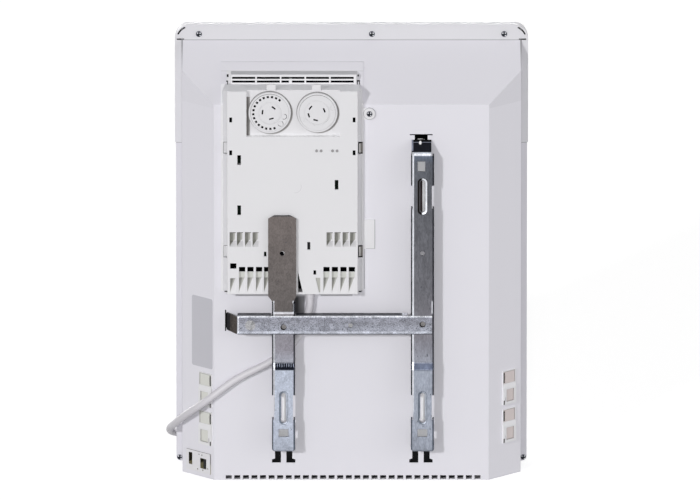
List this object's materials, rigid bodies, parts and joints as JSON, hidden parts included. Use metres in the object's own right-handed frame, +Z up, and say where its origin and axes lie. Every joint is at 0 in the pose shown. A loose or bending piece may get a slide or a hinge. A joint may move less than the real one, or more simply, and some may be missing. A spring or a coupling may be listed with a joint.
{
  "type": "electric convector heater",
  "caption": "Slim electric convector heater with chamfered rear shell, dial control housing, hook-on steel wall bracket and mains lead.",
  "frame": {"origin": "middle of the footprint of the heater with its bracket, on the floor plane, without the lead", "axes": "+Z up, -Y the front (room side), +Y the wall side, +X to the right seen from the front"},
  "size_m": [0.3626, 0.2334, 0.4553],
  "materials": {
    "painted_steel": "smooth white powder coat",
    "white_plastic": "fine satin moulded surface",
    "dial_plastic": "satin",
    "knob_plastic": "satin",
    "galvanised_steel": "galvanised, faint spangle",
    "rivet_steel": "dull",
    "screw_steel": "zinc plated",
    "inner_steel": "bare aluminised sheet",
    "element_metal": "bare fins",
    "circuit": "laminate",
    "switch_plastic": "moulded",
    "pot_plastic": "moulded",
    "terminal_plastic": "moulded",
    "cord_sheath": "soft PVC",
    "wire_sheath": "PVC",
    "lens": "clear amber"
  },
  "bodies": {
    "heater": {"front_panel": "painted_steel", "rear_shell": "painted_steel", "top_hood": "white_plastic", "outlet_louvre": "white_plastic", "air_deflector": "inner_steel", "control_fascia": "white_plastic", "pilot_lens": "lens", "control_housing": "white_plastic", "limit_pins": "white_plastic", "circuit_board": "circuit", "thermostat_pot": "pot_plastic", "mode_switch": "switch_plastic", "terminal_block": "terminal_plastic", "cord_clamp": "terminal_plastic", "cord_gland": "cord_sheath", "lead_wires": "wire_sheath", "heating_element": "element_metal", "element_supports": "inner_steel", "thermal_cutout": "switch_plastic", "heat_baffle": "inner_steel", "heat_shield": "inner_steel", "sensor_holder": "white_plastic", "room_sensor": "switch_plastic", "foot_sockets_left": "white_plastic", "foot_sockets_right": "white_plastic", "hood_screws": "screw_steel", "side_screws": "screw_steel", "housing_screw": "screw_steel", "power_cord": "cord_sheath", "cord_coil": "cord_sheath", "cord_tail": "cord_sheath", "plug": "cord_sheath"},
    "temperature_control": {"temperature_dial": "dial_plastic", "temperature_knob": "knob_plastic"},
    "mode_control": {"mode_dial": "dial_plastic", "mode_knob": "knob_plastic"},
    "wall_bracket": {"left_upright": "galvanised_steel", "right_upright": "galvanised_steel", "cross_bar": "galvanised_steel", "bracket_rivets": "rivet_steel"}
  },
  "joints": [
    {"name": "temperature_dial_turn", "type": "hinge", "parent": "heater", "child": "temperature_control", "pos_m": [0.08165, 0, 0.3825], "axis": [0, 1, 0], "range_deg": [0, 250]},
    {"name": "mode_dial_turn", "type": "hinge", "parent": "heater", "child": "mode_control", "pos_m": [0.03415, 0, 0.3825], "axis": [0, 1, 0], "range_deg": [0, 160]},
    {"name": "bracket_tilt", "type": "hinge", "parent": "heater", "child": "wall_bracket", "pos_m": [0, 0.029, 0.03515], "axis": [-1, 0, 0], "range_deg": [0, 12]}
  ]
}
